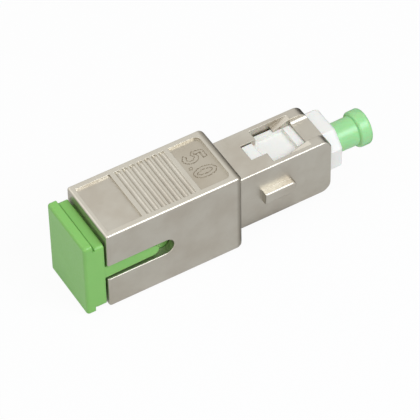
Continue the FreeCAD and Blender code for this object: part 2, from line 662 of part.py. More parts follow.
def make_port_cap(document, at):
    """The socket's stopper: two flanges, a hollow body that clears the latch, and the key rail."""
    piece = Piece(document, "port_dust_cap")
    flange_face = at.flange_face
    step = flange_face - at.inner_plate_thickness
    outer_face = at.cap_outer_face
    side = at.block_width / 2 - at.plate_side_inset
    outer_top = at.block_height / 2 - at.plate_top_inset
    inner_top = outer_top - at.plate_step
    piece.pad("outer_flange", "YZ_Plane", outer_face, at.plate_thickness,
              [span(-side, side, -outer_top - at.plate_drop, outer_top - at.plate_drop)])
    piece.pad("inner_flange", "YZ_Plane", step, at.inner_plate_thickness,
              [span(-side, side, -inner_top - at.plate_drop, inner_top - at.plate_drop)])
    piece.round_edges("flange_round", at.plate_edge,
                      lambda edge: near(middle(edge).x, outer_face.value)
                      or along(edge, 0) and near(abs(middle(edge).y), side.value))
    notch_end = step + at.notch_width
    notch_floor = inner_top - at.notch_depth
    piece.cut("flange_notch", "XZ_Plane", -at.block_width / 2, at.block_width,
              [span(step, notch_end, notch_floor - at.plate_drop, outer_top - at.plate_drop),
               span(step, notch_end, -outer_top - at.plate_drop, -notch_floor - at.plate_drop)])

    body_width = at.port_width / 2 - at.side_gap
    body_height = at.port_height / 2 - at.side_gap
    cheek_face = at.tube_outer + at.cheek_gap
    cheek_top = at.hook_face - at.cheek_gap
    stopper_end = at.hook_start - at.hook_room
    root = flange_face - at.inner_plate_thickness / 2
    piece.pad("stopper", "YZ_Plane", root, stopper_end - root,
              [block_outline(body_width * 2, body_height * 2)])
    piece.pad("cheeks", "YZ_Plane", root, at.cheek_length - root,
              [span(-body_width, -cheek_face, -cheek_top, cheek_top),
               span(cheek_face, body_width, -cheek_top, cheek_top)])
    rail_face = side - at.rail_inset
    rail_root = cheek_face + at.cheek_gap
    rail_half = at.slot_width / 2 - at.rail_gap
    tip_radius = rail_half - at.rail_taper
    tip_centre = at.slot_reach - at.rail_end_gap - tip_radius
    piece.pad("key_rail", "XZ_Plane", rail_root, rail_face - rail_root,
              [[(root, -rail_half), (tip_centre, -tip_radius), (tip_centre, tip_radius), (root, rail_half)]])
    piece.pad("key_rail_tip", "XZ_Plane", rail_root, rail_face - rail_root, [],
              [((tip_centre, 0), tip_radius)])
    piece.cut("hollow", "YZ_Plane", at.stopper_wall, at.cheek_length,
              [block_outline(cheek_face * 2, (body_height - at.stopper_wall) * 2)])
    return piece


def make_ferrule_cap(document, at):
    """The ferrule's cap: a slightly flared barrel with a rim and a blind bore."""
    piece = Piece(document, "ferrule_dust_cap")
    end = at.cap_tip
    rim_face = end - at.rim_thickness
    mouth = rim_face - at.barrel_length
    bore = at.ferrule_diameter / 2 + at.grip_gap
    floor = at.ferrule_tip + at.cap_end_room
    rim = at.barrel_front / 2 + at.rim_lip
    piece.turn("shell", [(mouth, bore), (floor, bore), (floor, 0), (end, 0), (end, rim),
                         (rim_face, rim), (rim_face, at.barrel_front / 2), (mouth, at.barrel_rear / 2)])
    piece.round_edges("rim_round", at.rim_lip * at.rim_edge_share,
                      lambda edge: is_circle(edge, rim.value))
    return piece


def place(piece, at):
    """Move a piece so that the origin is under the object's middle, on the face it rests on."""
    middle_x = (at.cap_outer_face + at.cap_tip) / 2
    piece.body.setExpression("Placement.Base.x", (-middle_x).text)
    piece.body.setExpression("Placement.Base.z", (at.block_height / 2).text)


def check(document, pieces):
    """Stop if a feature failed, changed nothing or left a broken solid."""
    for item in document.Objects:
        faults = {"Invalid", "Error"} & set(item.State)
        if faults:
            raise RuntimeError(f"{item.Label} failed to build: {faults}")
    for piece in pieces:
        shape = piece.body.Shape
        if shape.isNull() or not shape.isValid():
            raise RuntimeError(f"{piece.body.Label} isn't a valid solid")
        features = [item for item in piece.body.Group if item.isDerivedFrom("PartDesign::Feature")]
        volumes = [feature.Shape.Volume for feature in features]
        for before, after in zip(volumes, volumes[1:]):
            if near(before, after, 1e-7):
                raise RuntimeError(f"a feature of {piece.body.Label} changes nothing")


def main():
    document = FreeCAD.newDocument(DOCUMENT_NAME)
    sheet = Sheet(document)
    add_derived(sheet)
    makers = [make_housing, make_frame, make_ferrule, make_fibre, make_collar, make_bush, make_spring,
              make_sleeve, make_latch, make_port_cap, make_ferrule_cap]
    pieces = [maker(document, sheet) for maker in makers]
    for piece in pieces:
        place(piece, sheet)
    document.recompute()
    check(document, pieces)

    os.makedirs("parts", exist_ok=True)
    for piece in pieces:
        piece.body.Shape.exportStep(f"parts/{piece.body.Label}.step")
        box = piece.body.Shape.BoundBox
        print(f"{piece.body.Label}: {piece.body.Shape.Volume:.2f} mm3, {len(piece.body.Shape.Solids)} solid, "
              f"x {box.XMin:.2f}..{box.XMax:.2f}, y {box.YMin:.2f}..{box.YMax:.2f}, "
              f"z {box.ZMin:.2f}..{box.ZMax:.2f}")


main()
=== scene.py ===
"""Looks of the fibre attenuator: its finishes, the coil spring, the number on its panel and the studio.

Lengths in the classes are in millimetres, as on a drawing, and are turned to metres where a mesh, a lamp or
the camera is made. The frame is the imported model's: X along the optical axis towards the plug, Z up.
"""

import logging
import math
from collections.abc import Mapping
from dataclasses import dataclass
from enum import Enum
from typing import Any

import bpy
import numpy as np
from mathutils import Matrix, Vector

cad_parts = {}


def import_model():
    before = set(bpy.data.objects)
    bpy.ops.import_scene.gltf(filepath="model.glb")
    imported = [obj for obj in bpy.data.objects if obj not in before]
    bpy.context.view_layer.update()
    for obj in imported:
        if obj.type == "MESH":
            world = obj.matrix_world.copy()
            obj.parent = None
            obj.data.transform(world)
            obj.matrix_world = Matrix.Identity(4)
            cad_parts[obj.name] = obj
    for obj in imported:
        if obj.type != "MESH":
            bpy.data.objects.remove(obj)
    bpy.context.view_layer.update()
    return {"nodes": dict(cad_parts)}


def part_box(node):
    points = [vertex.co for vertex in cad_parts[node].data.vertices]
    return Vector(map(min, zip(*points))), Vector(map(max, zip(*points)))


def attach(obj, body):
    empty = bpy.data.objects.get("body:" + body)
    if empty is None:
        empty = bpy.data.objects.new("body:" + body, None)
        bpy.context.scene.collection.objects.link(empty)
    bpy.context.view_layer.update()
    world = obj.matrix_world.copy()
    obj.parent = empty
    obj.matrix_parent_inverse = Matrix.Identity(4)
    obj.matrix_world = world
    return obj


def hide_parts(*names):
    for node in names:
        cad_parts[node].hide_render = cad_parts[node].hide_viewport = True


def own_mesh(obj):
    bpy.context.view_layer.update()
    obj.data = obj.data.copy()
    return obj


LOG = logging.getLogger("fibre_attenuator")
METRES = 0.001
PHOTO_PIXELS = 420
FULL_TURN = 2 * math.pi


class RayKind(Enum):
    """The rays of the Light Path node that see the studio's white surroundings."""

    CAMERA = "Is Camera Ray"
    GLOSSY = "Is Glossy Ray"
    TRANSMISSION = "Is Transmission Ray"


class Body(Enum):
    """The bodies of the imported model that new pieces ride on."""

    HOUSING = "housing"
    CORE = "core"


def linear(hex_code: str) -> tuple[float, float, float, float]:
    """Turn an sRGB hex colour to linear light.

    Args:
        hex_code: Six hex digits after a hash.

    Returns:
        Red, green, blue and a full alpha for a colour socket.
    """
    coded = np.array([int(hex_code[i : i + 2], 16) for i in (1, 3, 5)]) / 255
    light = np.where(coded <= 0.04045, coded / 12.92, ((coded + 0.055) / 1.055) ** 2.4)
    return (float(light[0]), float(light[1]), float(light[2]), 1.0)


def per_metre(feature_mm: float) -> float:
    """Scale of a noise pattern whose features are this many millimetres across."""
    return 1 / (feature_mm * METRES)


def add_node(
    tree: bpy.types.NodeTree, kind: str, inputs: Mapping[str | int, Any] | None = None, **settings: Any
) -> bpy.types.Node:
    """Add a node with its settings, its socket values and its links.

    Args:
        tree: The node tree that gets the node.
        kind: The node's type name.
        inputs: For each input socket, by name or number, the value to set or the output socket to link.
        settings: Properties of the node itself.

    Returns:
        The new node.
    """
    node = tree.nodes.new(kind)
    for name, value in settings.items():
        setattr(node, name, value)
    for key, value in (inputs or {}).items():
        if isinstance(value, bpy.types.NodeSocket):
            tree.links.new(value, node.inputs[key])
        else:
            node.inputs[key].default_value = value
    return node


def new_material(name: str) -> tuple[bpy.types.Material, bpy.types.NodeTree, bpy.types.NodeSocket]:
    """Start an empty node material.

    Args:
        name: The finish's common name.

    Returns:
        The material, its node tree and its Object coordinates.
    """
    material = bpy.data.materials.new(name)
    material.use_nodes = True
    tree = material.node_tree
    tree.nodes.clear()
    place = add_node(tree, "ShaderNodeTexCoord").outputs["Object"]
    return material, tree, place


@dataclass(frozen=True)
class Band:
    """A stretch of values, from its low end to its high end."""

    low: float
    high: float

    @property
    def middle(self) -> float:
        """The value halfway along the band."""
        return (self.low + self.high) / 2

    @property
    def half(self) -> float:
        """How far the band reaches to either side of its middle."""
        return (self.high - self.low) / 2


@dataclass(frozen=True)
class SatinNickel:
    """Nickel plate, barrelled to a satin, on die-cast zinc.

    The plate is a warm grey. It clouds by a few percent from place to place, stains a little in patches,
    and shows the casting's skin as a soft unevenness. The barrelling leaves a fine grain that blurs what
    the metal reflects, softens every edge and wears the block's rims and lands lighter. A painted shade
    darkens the plate round the block's shoulder, beside the neck, in place of a dark reflection there. The
    laser that marks the panel leaves a faint brown haze on its floor.
    """

    plate: str = "#BEB9AD"
    cloud: str = "#B5AEA1"
    cloud_mm: float = 4.5
    cloud_range: Band = Band(0.38, 0.66)
    stain: str = "#A49D8C"
    stain_mm: float = 1.6
    stain_range: Band = Band(0.60, 0.78)
    stain_share: float = 0.35

    # The real grain is a few hundredths of a millimetre. It is drawn coarser, so that it shows.
    grain_mm: float = 0.30
    grain_range: Band = Band(0.3, 0.7)
    roughness: Band = Band(0.365, 0.395)
    skin_mm: float = 1.3
    skin_depth_mm: float = 0.016
    skin_strength: float = 0.5
    edge_mm: float = 0.08
    edge_samples: int = 6

    # Painted shade: the shoulder's round is drawn darker, in place of a dark reflection there.
    painted_shoulder_shade: str = "#827B6D"
    painted_shoulder_shade_share: float = 0.75
    painted_shade_rise_mm: Band = Band(-0.35, 0.2)
    painted_shade_end_mm: float = 0.76
    haze: str = "#A3967E"
    haze_share: float = 0.30
    haze_along_mm: Band = Band(-4.7, -0.6)
    haze_level_mm: Band = Band(12.60, 12.70)
    worn: str = "#C9C4B7"
    worn_share: float = 0.68
    middle_height_mm: float = 6.475
    worn_from_middle_mm: Band = Band(6.385, 6.525)

    def material(self) -> bpy.types.Material:
        """Build the node material.

        Returns:
            The material.
        """
        made, tree, place = new_material("satin_nickel_plate")
        cloud = add_node(tree, "ShaderNodeTexNoise", {
            "Vector": place, "Scale": per_metre(self.cloud_mm), "Detail": 3.0, "Roughness": 0.55})
        clouded = add_node(tree, "ShaderNodeMapRange", {
            "Value": cloud.outputs["Fac"], "From Min": self.cloud_range.low,
            "From Max": self.cloud_range.high})
        stain = add_node(tree, "ShaderNodeTexNoise", {
            "Vector": place, "Scale": per_metre(self.stain_mm), "Detail": 5.0, "Roughness": 0.65})
        stained = add_node(tree, "ShaderNodeMapRange", {
            "Value": stain.outputs["Fac"], "From Min": self.stain_range.low,
            "From Max": self.stain_range.high, "To Max": self.stain_share})
        coats = (
            (clouded.outputs["Result"], self.cloud),
            (stained.outputs["Result"], self.stain),
            *self.coats_by_place(tree, place),
        )
        colour: bpy.types.NodeSocket | tuple[float, ...] = linear(self.plate)
        for amount, coat in coats:
            colour = add_node(tree, "ShaderNodeMix", {"Factor": amount, "A": colour, "B": linear(coat)},
                              data_type="RGBA").outputs["Result"]

        grain = add_node(tree, "ShaderNodeTexNoise", {
            "Vector": place, "Scale": per_metre(self.grain_mm), "Detail": 2.0})
        rough = add_node(tree, "ShaderNodeMapRange", {
            "Value": grain.outputs["Fac"], "From Min": self.grain_range.low,
            "From Max": self.grain_range.high, "To Min": self.roughness.low, "To Max": self.roughness.high})
        edge = add_node(tree, "ShaderNodeBevel", {"Radius": self.edge_mm * METRES}, samples=self.edge_samples)
        skin = add_node(tree, "ShaderNodeTexNoise", {
            "Vector": place, "Scale": per_metre(self.skin_mm), "Detail": 2.0})
        uneven = add_node(tree, "ShaderNodeBump", {
            "Height": skin.outputs["Fac"], "Strength": self.skin_strength,
            "Distance": self.skin_depth_mm * METRES, "Normal": edge.outputs["Normal"]})
        shader = add_node(tree, "ShaderNodeBsdfPrincipled", {
            "Base Color": colour, "Metallic": 1.0, "Roughness": rough.outputs["Result"],
            "Normal": uneven.outputs["Normal"]})
        add_node(tree, "ShaderNodeOutputMaterial", {"Surface": shader.outputs["BSDF"]})
        return made

    def coats_by_place(
        self, tree: bpy.types.NodeTree, place: bpy.types.NodeSocket
    ) -> list[tuple[bpy.types.NodeSocket, str]]:
        """Find how much of the haze, the wear and the painted shoulder shade each place of the block gets.

        The haze lies where X and Z are both in its bands. The wear lies where Z is as far from the middle
        height, above or below, as its band says. The painted shoulder shade comes in smoothly along X and
        stops where the neck starts.

        Args:
            tree: The tree that gets the nodes.
            place: The Object coordinates.

        Returns:
            An amount and a colour for each of the three, in the order they are laid.
        """
        parts = add_node(tree, "ShaderNodeSeparateXYZ", {0: place})
        along, height = parts.outputs["X"], parts.outputs["Z"]
        above = add_node(tree, "ShaderNodeMath", {0: height, 1: self.middle_height_mm * METRES},
                         operation="SUBTRACT")
        from_middle = add_node(tree, "ShaderNodeMath", {0: above.outputs["Value"]}, operation="ABSOLUTE")
        in_length, on_floor, on_rims = (
            add_node(tree, "ShaderNodeMath", {0: value, 1: band.middle * METRES, 2: band.half * METRES},
                     operation="COMPARE").outputs["Value"]
            for value, band in ((along, self.haze_along_mm), (height, self.haze_level_mm),
                                (from_middle.outputs["Value"], self.worn_from_middle_mm))
        )
        marked = add_node(tree, "ShaderNodeMath", {0: in_length, 1: on_floor}, operation="MULTIPLY")
        haze = add_node(tree, "ShaderNodeMath", {0: marked.outputs["Value"], 1: self.haze_share},
                        operation="MULTIPLY")
        wear = add_node(tree, "ShaderNodeMath", {0: on_rims, 1: self.worn_share}, operation="MULTIPLY")
        # Painted shade: darker round the shoulder, rising smoothly along X and stopping where the neck
        # starts.
        shade_rise = add_node(tree, "ShaderNodeMapRange", {
            "Value": along, "From Min": self.painted_shade_rise_mm.low * METRES,
            "From Max": self.painted_shade_rise_mm.high * METRES, "To Max": self.painted_shoulder_shade_share},
            interpolation_type="SMOOTHSTEP")
        before_neck = add_node(tree, "ShaderNodeMath", {0: along, 1: self.painted_shade_end_mm * METRES},
                               operation="LESS_THAN")
        painted_shade = add_node(tree, "ShaderNodeMath", {
            0: shade_rise.outputs["Result"], 1: before_neck.outputs["Value"]}, operation="MULTIPLY")
        return [(haze.outputs["Value"], self.haze), (wear.outputs["Value"], self.worn),
                (painted_shade.outputs["Value"], self.painted_shoulder_shade)]


@dataclass(frozen=True)
class MouldedPolymer:
    """An injection-moulded plastic with a fine satin skin.

    The mould's spark-eroded texture gives a faint orange peel, the pigment clouds very slightly where the
    melt flowed, the mould leaves the edges soft, and some light goes in and comes out again beside where it
    entered.
    """

    name: str
    pigment: str
    flow: str
    roughness: float
    scatter: float
    scatter_mm: float
    edge_mm: float
    flow_mm: float = 3.5
    flow_distortion: float = 0.8

    # The real texture is a few hundredths of a millimetre. It is drawn coarser, so that it shows.
    peel_mm: float = 0.22
    peel_depth_mm: float = 0.004
    peel_strength: float = 0.5
    peel_range: Band = Band(0.3, 0.7)
    roughness_spread: Band = Band(-0.04, 0.06)
    edge_samples: int = 6
    ior: float = 1.53

    def material(self) -> bpy.types.Material:
        """Build the node material.

        Returns:
            The material.
        """
        made, tree, place = new_material(self.name)
        melt = add_node(tree, "ShaderNodeTexNoise", {
            "Vector": place, "Scale": per_metre(self.flow_mm), "Detail": 2.0,
            "Distortion": self.flow_distortion})
        colour = add_node(tree, "ShaderNodeMix", {
            "Factor": melt.outputs["Fac"], "A": linear(self.pigment), "B": linear(self.flow)},
            data_type="RGBA")
        peel = add_node(tree, "ShaderNodeTexNoise", {
            "Vector": place, "Scale": per_metre(self.peel_mm), "Detail": 2.0})
        rough = add_node(tree, "ShaderNodeMapRange", {
            "Value": peel.outputs["Fac"], "From Min": self.peel_range.low, "From Max": self.peel_range.high,
            "To Min": self.roughness + self.roughness_spread.low,
            "To Max": self.roughness + self.roughness_spread.high})
        edge = add_node(tree, "ShaderNodeBevel", {"Radius": self.edge_mm * METRES}, samples=self.edge_samples)
        bump = add_node(tree, "ShaderNodeBump", {
            "Height": peel.outputs["Fac"], "Strength": self.peel_strength,
            "Distance": self.peel_depth_mm * METRES, "Normal": edge.outputs["Normal"]})
        shader = add_node(tree, "ShaderNodeBsdfPrincipled", {
            "Base Color": colour.outputs["Result"], "Roughness": rough.outputs["Result"], "IOR": self.ior,
            "Subsurface Weight": self.scatter, "Subsurface Scale": self.scatter_mm * METRES,
            "Normal": bump.outputs["Normal"]})
        add_node(tree, "ShaderNodeOutputMaterial", {"Surface": shader.outputs["BSDF"]})
        return made


@dataclass(frozen=True)
class GroundCeramic:
    """Zirconia, ground round and polished: a warm white with a hard gloss and very fine grinding rings."""

    body: str = "#F2EFE6"
    shade: str = "#E9E4D8"
    roughness: float = 0.12

    # The real rings are a few thousandths of a millimetre apart. They are drawn coarser, so that they show.
    ring_mm: float = 0.12
    ring_depth_mm: float = 0.0006
    ring_strength: float = 0.4
    round_it: float = 0.02
    ior: float = 2.1

    def material(self) -> bpy.types.Material:
        """Build the node material.

        Returns:
            The material.
        """
        made, tree, place = new_material("ground_zirconia")
        along = add_node(tree, "ShaderNodeMapping", {
            "Vector": place, "Scale": (1.0, self.round_it, self.round_it)})
        rings = add_node(tree, "ShaderNodeTexNoise", {
            "Vector": along.outputs["Vector"], "Scale": per_metre(self.ring_mm), "Detail": 3.0})
        colour = add_node(tree, "ShaderNodeMix", {
            "Factor": rings.outputs["Fac"], "A": linear(self.body), "B": linear(self.shade)},
            data_type="RGBA")
        bump = add_node(tree, "ShaderNodeBump", {
            "Height": rings.outputs["Fac"], "Strength": self.ring_strength,
            "Distance": self.ring_depth_mm * METRES})
        shader = add_node(tree, "ShaderNodeBsdfPrincipled", {
            "Base Color": colour.outputs["Result"], "Roughness": self.roughness, "IOR": self.ior,
            "Normal": bump.outputs["Normal"]})
        add_node(tree, "ShaderNodeOutputMaterial", {"Surface": shader.outputs["BSDF"]})
        return made


@dataclass(frozen=True)
class DrawnSteel:
    """Stainless steel, turned or drawn bright: cool grey, with fine lines that run round it."""

    metal: str = "#B9BABA"
    shade: str = "#A2A3A4"
    roughness: Band = Band(0.18, 0.30)

    # The real lines are a hundredth of a millimetre or less. They are drawn coarser, so that they show.
    line_mm: float = 0.08
    round_it: float = 0.05

    def material(self) -> bpy.types.Material:
        """Build the node material.

        Returns:
            The material.
        """
        made, tree, place = new_material("drawn_stainless_steel")
        along = add_node(tree, "ShaderNodeMapping", {
            "Vector": place, "Scale": (1.0, self.round_it, self.round_it)})
        lines = add_node(tree, "ShaderNodeTexNoise", {
            "Vector": along.outputs["Vector"], "Scale": per_metre(self.line_mm), "Detail": 2.0})
        colour = add_node(tree, "ShaderNodeMix", {
            "Factor": lines.outputs["Fac"], "A": linear(self.metal), "B": linear(self.shade)},
            data_type="RGBA")
        rough = add_node(tree, "ShaderNodeMapRange", {
            "Value": lines.outputs["Fac"], "To Min": self.roughness.low, "To Max": self.roughness.high})
        shader = add_node(tree, "ShaderNodeBsdfPrincipled", {
            "Base Color": colour.outputs["Result"], "Metallic": 1.0, "Roughness": rough.outputs["Result"]})
        add_node(tree, "ShaderNodeOutputMaterial", {"Surface": shader.outputs["BSDF"]})
        return made


@dataclass(frozen=True)
class DopedGlass:
    """Silica fibre, doped so that it takes up light: clear, faintly grey and polished at its ends."""

    tint: str = "#DCE4E6"
    haze: str = "#CBD3D6"
    streak_mm: float = 0.05
    lengthwise: float = 0.05
    roughness: float = 0.05
    transmission: float = 0.8
    ior: float = 1.46

    def material(self) -> bpy.types.Material:
        """Build the node material.

        Returns:
            The material.
        """
        made, tree, place = new_material("doped_silica")
        along = add_node(tree, "ShaderNodeMapping", {"Vector": place, "Scale": (self.lengthwise, 1.0, 1.0)})
        streaks = add_node(tree, "ShaderNodeTexNoise", {
            "Vector": along.outputs["Vector"], "Scale": per_metre(self.streak_mm)})
        colour = add_node(tree, "ShaderNodeMix", {
            "Factor": streaks.outputs["Fac"], "A": linear(self.tint), "B": linear(self.haze)},
            data_type="RGBA")
        shader = add_node(tree, "ShaderNodeBsdfPrincipled", {
            "Base Color": colour.outputs["Result"], "Roughness": self.roughness, "IOR": self.ior,
            "Transmission Weight": self.transmission})
        add_node(tree, "ShaderNodeOutputMaterial", {"Surface": shader.outputs["BSDF"]})
        return made


@dataclass(frozen=True)
class LaserBurn:
    """Nickel burnt by a marking laser: brown-grey oxide, dull, scorched darker in specks."""

    oxide: str = "#8F846F"
    scorch: str = "#6C604D"
    metallic: float = 0.6
    roughness: float = 0.6
    speck_mm: float = 0.12
    speck_range: Band = Band(0.35, 0.65)

    def material(self) -> bpy.types.Material:
        """Build the node material.

        Returns:
            The material.
        """
        made, tree, place = new_material("laser_burnt_nickel")
        specks = add_node(tree, "ShaderNodeTexNoise", {
            "Vector": place, "Scale": per_metre(self.speck_mm), "Detail": 3.0})
        burnt = add_node(tree, "ShaderNodeMapRange", {
            "Value": specks.outputs["Fac"], "From Min": self.speck_range.low,
            "From Max": self.speck_range.high})
        colour = add_node(tree, "ShaderNodeMix", {
            "Factor": burnt.outputs["Result"], "A": linear(self.oxide), "B": linear(self.scorch)},
            data_type="RGBA")
        shader = add_node(tree, "ShaderNodeBsdfPrincipled", {
            "Base Color": colour.outputs["Result"], "Metallic": self.metallic, "Roughness": self.roughness})
        add_node(tree, "ShaderNodeOutputMaterial", {"Surface": shader.outputs["BSDF"]})
        return made


WHITE_FRAME = MouldedPolymer("white_moulded_frame", pigment="#F4F2EB", flow="#EEEDE6", roughness=0.38,
                             scatter=0.12, scatter_mm=0.4, edge_mm=0.08)
GREEN_STOPPER = MouldedPolymer("green_moulded_stopper", pigment="#87C563", flow="#7EBE5B", roughness=0.34,
                               scatter=0.04, scatter_mm=0.3, edge_mm=0.26)
PALE_GREEN_CAP = MouldedPolymer("pale_green_moulded_cap", pigment="#A4E09C", flow="#9AD792", roughness=0.30,
                                scatter=0.35, scatter_mm=0.8, edge_mm=0.12)


def dress(node: bpy.types.Object, material: bpy.types.Material) -> None:
    """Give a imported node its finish, in every material slot it has.

    Args:
        node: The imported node.
        material: The finish.
    """
    for slot in node.material_slots:
        slot.material = material
    LOG.info("dressed %s in %s", node.name, material.name)


def grid_faces(rows: int, columns: int, closed: bool) -> np.ndarray:
    """Quads of a grid of points, numbered row by row.

    Face (i, j) joins point (i, j) to its neighbours (i + 1, j), (i + 1, j + 1) and (i, j + 1).

    Args:
        rows: Points in the first direction.
        columns: Points in the second direction.
        closed: Whether the last column joins the first.

    Returns:
        An array of four point numbers for each face.
    """
    i, j = np.meshgrid(np.arange(rows - 1), np.arange(columns if closed else columns - 1), indexing="ij")
    following = (j + 1) % columns
    corners = [i * columns + j, (i + 1) * columns + j, (i + 1) * columns + following, i * columns + following]
    return np.stack(corners, axis=-1).reshape(-1, 4)


def new_piece(
    name: str, points_mm: np.ndarray, faces: list[list[int]], material: bpy.types.Material,
    smooth: bool = True,
) -> bpy.types.Object:
    """Make an object from points in millimetres, with its place in its mesh.

    Args:
        name: The piece's name.
        points_mm: An array of points, three numbers each.
        faces: The point numbers of each face.
        material: The finish.
        smooth: Whether faces are shaded as one curved surface.

    Returns:
        The linked object, at the origin.
    """
    mesh = bpy.data.meshes.new(name)
    mesh.from_pydata((points_mm * METRES).tolist(), [], faces)
    mesh.polygons.foreach_set("use_smooth", np.full(len(mesh.polygons), smooth))
    mesh.materials.append(material)
    mesh.validate()
    mesh.update()
    piece = bpy.data.objects.new(name, mesh)
    bpy.context.scene.collection.objects.link(piece)
    return piece


@dataclass
class Housing:
    """The cast block and plug neck, and the number burnt into the panel at the block's plug end.

    A glyph's shares are of the width and height between the middles of its outer strokes.
    """

    plate: SatinNickel = SatinNickel()
    burn: LaserBurn = LaserBurn()
    glyph_height: float = 3.1
    glyph_width: float = 1.75
    glyph_gap: float = 0.55
    stroke: float = 0.5
    point_size: float = 0.24
    five_back_share: float = 0.08
    five_waist_share: float = 0.56
    five_bowl_share: float = 0.31
    five_bowl_degrees: tuple[float, float] = (140.0, -145.0)
    bar_points: int = 12
    bowl_points: int = 40
    nought_points: int = 60
    full_stop_points: int = 14
    end_points: int = 6
    dot_pitch: float = 0.11
    dot_radius: float = 0.07
    dot_spread: tuple[float, float] = (0.7, 1.2)
    dot_spokes: int = 8
    pit_radius_shares: tuple[float, ...] = (1.0, 0.72, 0.4, 0.12)
    pit_height_shares: tuple[float, ...] = (0.0, 1.0, 0.25, 0.05)
    rim_height: float = 0.012
    skin_lift: float = 0.004
    panel_middle: float = 16.02
    panel_depth: float = 0.3
    wander: float = 0.035
    seed: int = 5

    def build(self, nodes: Mapping[str, bpy.types.Object]) -> list[bpy.types.Object]:
        """Dress the casting and lay the number on its panel.

        Args:
            nodes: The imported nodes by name.

        Returns:
            The new pieces.
        """
        dress(nodes["metal_housing"], self.plate.material())
        return [self.panel_number()]

    def outline(self, centre_line: np.ndarray, closed: bool) -> np.ndarray:
        """Trace the two sides of a stroke.

        Each side is the centre line moved along its normal by half the stroke. The normal is the tangent,
        taken as the difference of neighbouring points, turned by a right angle.

        Args:
            centre_line: Points along the stroke's middle, across and up.
            closed: Whether the line ends where it starts.

        Returns:
            The points of both sides, and of the two ends where the line is open.
        """
        tangent = np.gradient(centre_line, axis=0)
        tangent /= np.linalg.norm(tangent, axis=1, keepdims=True)
        normal = np.stack([-tangent[:, 1], tangent[:, 0]], axis=1) * self.stroke / 2
        sides = [centre_line + normal, centre_line - normal]
        if not closed:
            across = np.linspace(-1, 1, self.end_points)[:, None]
            sides += [centre_line[0] + across * normal[0], centre_line[-1] + across * normal[-1]]
        return np.concatenate([self.even(side) for side in sides])

    def even(self, line: np.ndarray) -> np.ndarray:
        """Space points evenly along a line, interpolated by the length run so far.

        Args:
            line: The line's points, across and up.

        Returns:
            Points about the laser's pitch apart.
        """
        run = np.concatenate([[0], np.cumsum(np.linalg.norm(np.diff(line, axis=0), axis=1))])
        steps = np.linspace(0, run[-1], max(2, int(run[-1] / self.dot_pitch)))
        return np.stack([np.interp(steps, run, line[:, 0]), np.interp(steps, run, line[:, 1])], axis=1)

    def five(self) -> np.ndarray:
        """Outline a five: a top bar and an upright, then a bowl that is most of an ellipse.

        Returns:
            The pits' middles, across and up.
        """
        wide, high = self.glyph_width - self.stroke, self.glyph_height - self.stroke
        back = self.five_back_share * wide
        bar = np.linspace([wide, high], [back, high], self.bar_points)
        upright = np.linspace([back, high], [0, self.five_waist_share * high], self.bar_points)[1:]
        start, end = (math.radians(degrees) for degrees in self.five_bowl_degrees)
        angle = np.linspace(start, end, self.bowl_points)
        bowl = np.stack([wide / 2 * (1 + np.cos(angle)),
                         self.five_bowl_share * high * (1 + np.sin(angle))], axis=1)
        return self.outline(np.concatenate([bar, upright, bowl]), closed=False)

    def nought(self) -> np.ndarray:
        """Outline a nought: an upright ellipse.

        Returns:
            The pits' middles, across and up.
        """
        wide, high = self.glyph_width - self.stroke, self.glyph_height - self.stroke
        angle = np.linspace(0, FULL_TURN, self.nought_points)
        ring = np.stack([wide / 2 * (1 + np.cos(angle)), high / 2 * (1 + np.sin(angle))], axis=1)
        return self.outline(ring, closed=True)

    def full_stop(self) -> np.ndarray:
        """Outline the point between them: a small circle on the base line.

        Returns:
            The pits' middles, across and up.
        """
        angle = np.linspace(0, FULL_TURN, self.full_stop_points)
        circle = np.stack([np.cos(angle), np.sin(angle)], axis=1) * self.point_size
        return self.even(circle)

    def panel_number(self) -> bpy.types.Object:
        """Lay the pits of a plain number, 5.0, on the panel.

        The number reads towards -Y with its top to +X. Pit k is four rings about centre c_k, with radius r
        and height h taken from a profile that goes down in the middle and up at the rim:
        point = c_k + r (cos a, sin a), z = floor + h.

        Returns:
            The piece.
        """
        reach = self.glyph_width + self.glyph_gap
        full_stop = self.full_stop() + [reach - self.glyph_gap / 2 + self.point_size / 2, 0]
        nought = self.nought() + [reach + self.point_size * 2, 0]
        across_up = np.concatenate([self.five(), full_stop, nought])
        across_up = across_up - (across_up.min(axis=0) + across_up.max(axis=0)) / 2
        rng = np.random.default_rng(self.seed)
        across_up = across_up + rng.normal(0, self.wander, across_up.shape)

        low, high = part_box("metal_housing")
        middle_x = low.x / METRES + self.panel_middle
        floor = high.z / METRES - self.panel_depth
        centres = np.stack([middle_x + across_up[:, 1], -across_up[:, 0]], axis=1)

        angle = np.arange(self.dot_spokes) * FULL_TURN / self.dot_spokes
        profile_radius = np.array(self.pit_radius_shares) * self.dot_radius
        profile_height = np.array(self.pit_height_shares) * self.rim_height + self.skin_lift
        size = rng.uniform(*self.dot_spread, len(centres))[:, None, None]
        ring_x = centres[:, 0, None, None] + size * profile_radius[None, :, None] * np.cos(angle)
        ring_y = centres[:, 1, None, None] + size * profile_radius[None, :, None] * np.sin(angle)
        ring_z = np.broadcast_to(floor + profile_height[None, :, None], ring_x.shape)
        points = np.stack([ring_x, ring_y, ring_z], axis=-1).reshape(-1, 3)

        rings = len(profile_radius)
        one = grid_faces(rings, self.dot_spokes, closed=True)[:, ::-1]
        starts = np.arange(len(centres)) * rings * self.dot_spokes
        sides = (one[None] + starts[:, None, None]).reshape(-1, 4).tolist()
        middles = (np.arange(self.dot_spokes) + (rings - 1) * self.dot_spokes + starts[:, None]).tolist()
        piece = new_piece("panel_number", points, sides + middles, self.burn.material())
        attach(piece, Body.HOUSING.value)
        return piece


